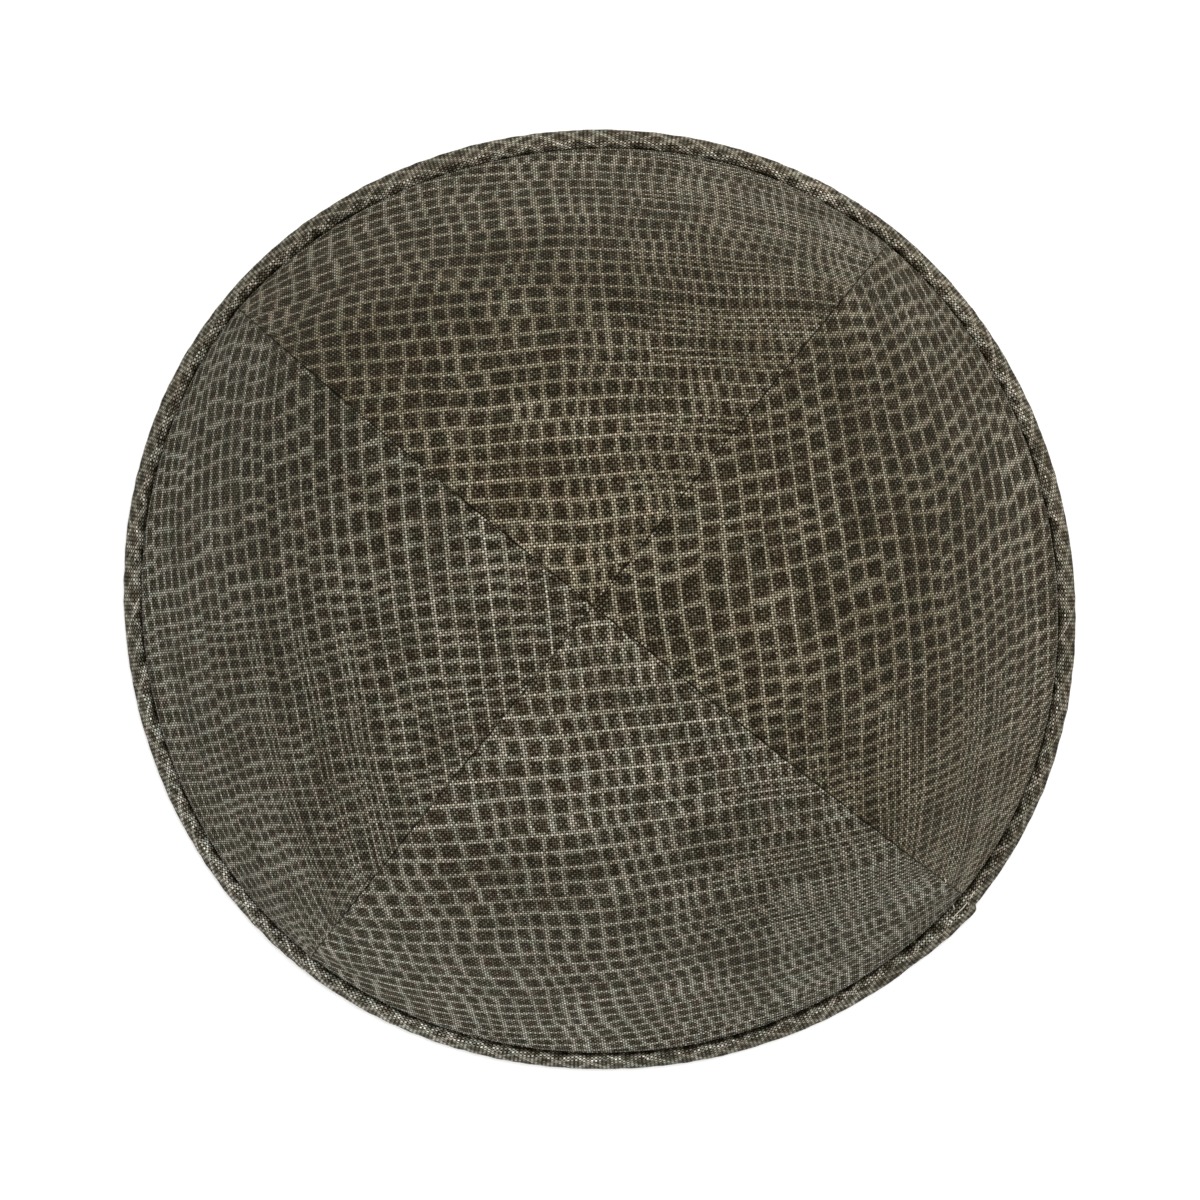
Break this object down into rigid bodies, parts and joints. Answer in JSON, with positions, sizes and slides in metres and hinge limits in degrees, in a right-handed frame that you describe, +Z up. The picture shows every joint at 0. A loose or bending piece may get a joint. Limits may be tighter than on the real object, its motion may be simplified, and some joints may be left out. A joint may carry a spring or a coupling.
{
  "type": "kippah",
  "caption": "Soft dome-shaped cloth cap of sewn wedge panels that meet at the crown, with a folded self-fabric strip binding its open rim; worn on the back of the head.",
  "frame": {"origin": "on the resting surface under the middle of the cap's rim", "axes": "+Z up through the crown; the panels face +X, +Y, -X and -Y, and the seams run on the diagonals; the strip's overlap is at the seam between the front and right panels"},
  "size_m": [0.1598, 0.1582, 0.0594],
  "materials": {
    "printed_cotton": "plain-weave cotton, dark brown olive with a pale scale-like grid print",
    "binding_cotton": "the same printed cotton, cut on the bias and folded"
  },
  "bodies": {
    "root": {"panel_right": "printed_cotton", "panel_back": "printed_cotton", "panel_left": "printed_cotton", "panel_front": "printed_cotton", "edge_binding": "binding_cotton"}
  },
  "joints": []
}
